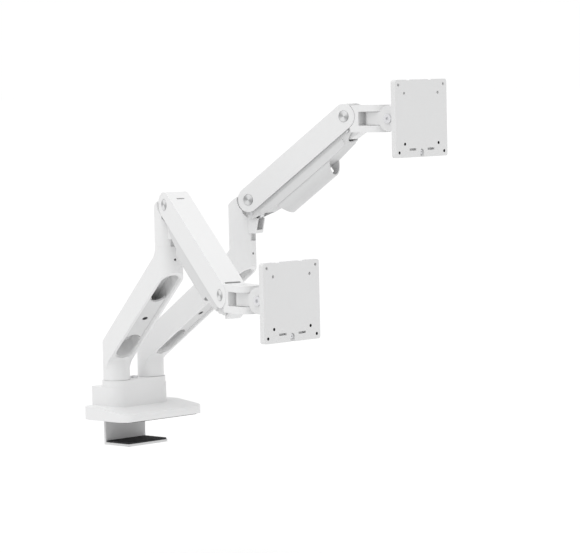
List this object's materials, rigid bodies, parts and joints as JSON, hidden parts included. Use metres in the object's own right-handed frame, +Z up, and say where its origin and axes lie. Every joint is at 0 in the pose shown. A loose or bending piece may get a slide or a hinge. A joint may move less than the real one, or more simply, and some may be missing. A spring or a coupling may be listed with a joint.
{
  "type": "dual monitor arm",
  "caption": "Desk-clamp monitor arm: turning hollow lower links, gas-spring upper arms kept level by trays, and tilting, turning plates for monitors.",
  "frame": {"origin": "on the desk top under the middle of the base plate (the underside of the base pad)", "axes": "+Z up, -Y towards the user and the way the monitor plates face, +X to the user's right"},
  "size_m": [0.3868, 0.5599, 0.5692],
  "materials": {
    "white_paint": "satin powder coat",
    "grey_paint": "satin powder coat",
    "grey_plastic": "fine texture",
    "dark_rubber": "matte",
    "black_steel": "black oxide",
    "steel": "ground",
    "brushed_metal": "turned",
    "nylon": "natural"
  },
  "bodies": {
    "base": {"base_cover": "white_paint", "base_frame": "black_steel", "desk_pad": "dark_rubber", "base_screws": "steel", "base_spindles": "steel"},
    "clamp": {"clamp_bracket": "grey_paint", "jaw_pad": "dark_rubber"},
    "screw": {"clamp_screw": "steel"},
    "left_link": {"left_lower_link": "white_paint", "left_link_bush": "nylon", "left_cable_cover": "grey_plastic", "left_cover_screw": "black_steel", "left_elbow_bush": "nylon", "left_set_screw": "black_steel"},
    "left_elbow": {"left_knuckle": "white_paint", "left_elbow_spindle": "steel"},
    "left_arm": {"left_arm_cover": "white_paint", "left_main_pins": "steel", "left_pivot_caps": "brushed_metal", "left_gas_cylinder": "black_steel", "left_gas_pin": "steel"},
    "left_rod": {"left_gas_rod": "steel"},
    "left_tray": {"left_arm_tray": "white_paint", "left_tray_pin": "steel", "left_cable_sleeve": "grey_plastic"},
    "left_head": {"left_head_fork": "white_paint", "left_fork_pin": "steel", "left_swivel_pin": "steel"},
    "left_swivel": {"left_swivel_block": "grey_paint"},
    "left_tilt": {"left_tilt_bracket": "grey_paint", "left_tilt_bolt": "brushed_metal"},
    "left_plate": {"left_turn_hub": "black_steel", "left_monitor_plate": "grey_paint", "left_release_screw": "brushed_metal"},
    "right_link": {"right_lower_link": "white_paint", "right_link_bush": "nylon", "right_cable_cover": "grey_plastic", "right_cover_screw": "black_steel", "right_elbow_bush": "nylon", "right_set_screw": "black_steel"},
    "right_elbow": {"right_knuckle": "white_paint", "right_elbow_spindle": "steel"},
    "right_arm": {"right_arm_cover": "white_paint", "right_main_pins": "steel", "right_pivot_caps": "brushed_metal", "right_gas_cylinder": "black_steel", "right_gas_pin": "steel"},
    "right_rod": {"right_gas_rod": "steel"},
    "right_tray": {"right_arm_tray": "white_paint", "right_tray_pin": "steel", "right_cable_sleeve": "grey_plastic"},
    "right_head": {"right_head_fork": "white_paint", "right_fork_pin": "steel", "right_swivel_pin": "steel"},
    "right_swivel": {"right_swivel_block": "grey_paint"},
    "right_tilt": {"right_tilt_bracket": "grey_paint", "right_tilt_bolt": "brushed_metal"},
    "right_plate": {"right_turn_hub": "black_steel", "right_monitor_plate": "grey_paint", "right_release_screw": "brushed_metal"}
  },
  "joints": [
    {"name": "clamp_slide", "type": "slide", "parent": "base", "child": "clamp", "axis": [0, 0, 1], "range_m": [-0.008, 0.025]},
    {"name": "clamp_screw_turn", "type": "hinge", "parent": "base", "child": "screw", "pos_m": [0, 0.0195, 0.061], "axis": [0, 0, 1], "range_deg": [-970, 3010]},
    {"name": "left_base_swivel", "type": "hinge", "parent": "base", "child": "left_link", "pos_m": [-0.037, 0.0195, 0.061], "axis": [0, 0, 1], "range_deg": [-73, 26]},
    {"name": "left_elbow_swivel", "type": "hinge", "parent": "left_link", "child": "left_elbow", "pos_m": [-0.09401, -0.16698, 0.281], "axis": [0, 0, 1], "range_deg": [-90, 57]},
    {"name": "left_lift", "type": "hinge", "parent": "left_elbow", "child": "left_arm", "pos_m": [-0.10103, -0.18993, 0.345], "axis": [-0.9563, 0.2924, 0], "range_deg": [-4, 76]},
    {"name": "left_tray_swing", "type": "hinge", "parent": "left_elbow", "child": "left_tray", "pos_m": [-0.10202, -0.19318, 0.323], "axis": [-0.9563, 0.2924, 0], "range_deg": [-5, 77]},
    {"name": "left_head_level", "type": "hinge", "parent": "left_arm", "child": "left_head", "pos_m": [-0.15212, -0.35704, 0.21804], "axis": [-0.9563, 0.2924, 0], "range_deg": [-77, 5]},
    {"name": "left_spring_stroke", "type": "slide", "parent": "left_arm", "child": "left_rod", "axis": [-0.2506, -0.8197, -0.515], "range_m": [-0.02772, 0.00193]},
    {"name": "left_head_swivel", "type": "hinge", "parent": "left_head", "child": "left_swivel", "pos_m": [-0.1644, -0.39721, 0.21804], "axis": [0, 0, 1], "range_deg": [-80, 80]},
    {"name": "left_tilt", "type": "hinge", "parent": "left_swivel", "child": "left_tilt", "pos_m": [-0.1644, -0.44421, 0.21424], "axis": [-1, 0, 0], "range_deg": [-45, 60]},
    {"name": "left_plate_turn", "type": "hinge", "parent": "left_tilt", "child": "left_plate", "pos_m": [-0.1644, -0.49321, 0.21424], "axis": [0, -1, 0], "range_deg": [-90, 90]},
    {"name": "right_base_swivel", "type": "hinge", "parent": "base", "child": "right_link", "pos_m": [0.037, 0.0195, 0.061], "axis": [0, 0, 1], "range_deg": [-25, 83]},
    {"name": "right_elbow_swivel", "type": "hinge", "parent": "right_link", "child": "right_elbow", "pos_m": [0.05738, -0.17443, 0.281], "axis": [0, 0, 1], "range_deg": [-75, 90]},
    {"name": "right_lift", "type": "hinge", "parent": "right_elbow", "child": "right_arm", "pos_m": [0.06237, -0.19791, 0.345], "axis": [-0.9781, -0.2079, 0], "range_deg": [-76, 4]},
    {"name": "right_tray_swing", "type": "hinge", "parent": "right_elbow", "child": "right_tray", "pos_m": [0.06308, -0.20123, 0.323], "axis": [-0.9781, -0.2079, 0], "range_deg": [-77, 5]},
    {"name": "right_head_level", "type": "hinge", "parent": "right_arm", "child": "right_head", "pos_m": [0.09871, -0.36884, 0.47196], "axis": [-0.9781, -0.2079, 0], "range_deg": [-5, 77]},
    {"name": "right_spring_stroke", "type": "slide", "parent": "right_arm", "child": "right_rod", "axis": [0.1569, -0.7382, 0.6561], "range_m": [-0.00192, 0.02743]},
    {"name": "right_head_swivel", "type": "hinge", "parent": "right_head", "child": "right_swivel", "pos_m": [0.10744, -0.40992, 0.47196], "axis": [0, 0, 1], "range_deg": [-80, 80]},
    {"name": "right_tilt", "type": "hinge", "parent": "right_swivel", "child": "right_tilt", "pos_m": [0.10744, -0.45692, 0.46816], "axis": [-1, 0, 0], "range_deg": [-45, 60]},
    {"name": "right_plate_turn", "type": "hinge", "parent": "right_tilt", "child": "right_plate", "pos_m": [0.10744, -0.50592, 0.46816], "axis": [0, -1, 0], "range_deg": [-90, 90]}
  ],
  "couplings": [
    {"joint": "clamp_screw_turn", "follows": "clamp_slide", "rad_per_m": 2094.4},
    {"joint": "left_tray_swing", "follows": "left_lift", "ratio": 1},
    {"joint": "left_head_level", "follows": "left_lift", "ratio": -1},
    {"joint": "left_spring_stroke", "follows": "left_lift", "m_per_rad": -0.02052},
    {"joint": "right_tray_swing", "follows": "right_lift", "ratio": 1},
    {"joint": "right_head_level", "follows": "right_lift", "ratio": -1},
    {"joint": "right_spring_stroke", "follows": "right_lift", "m_per_rad": -0.0203}
  ]
}
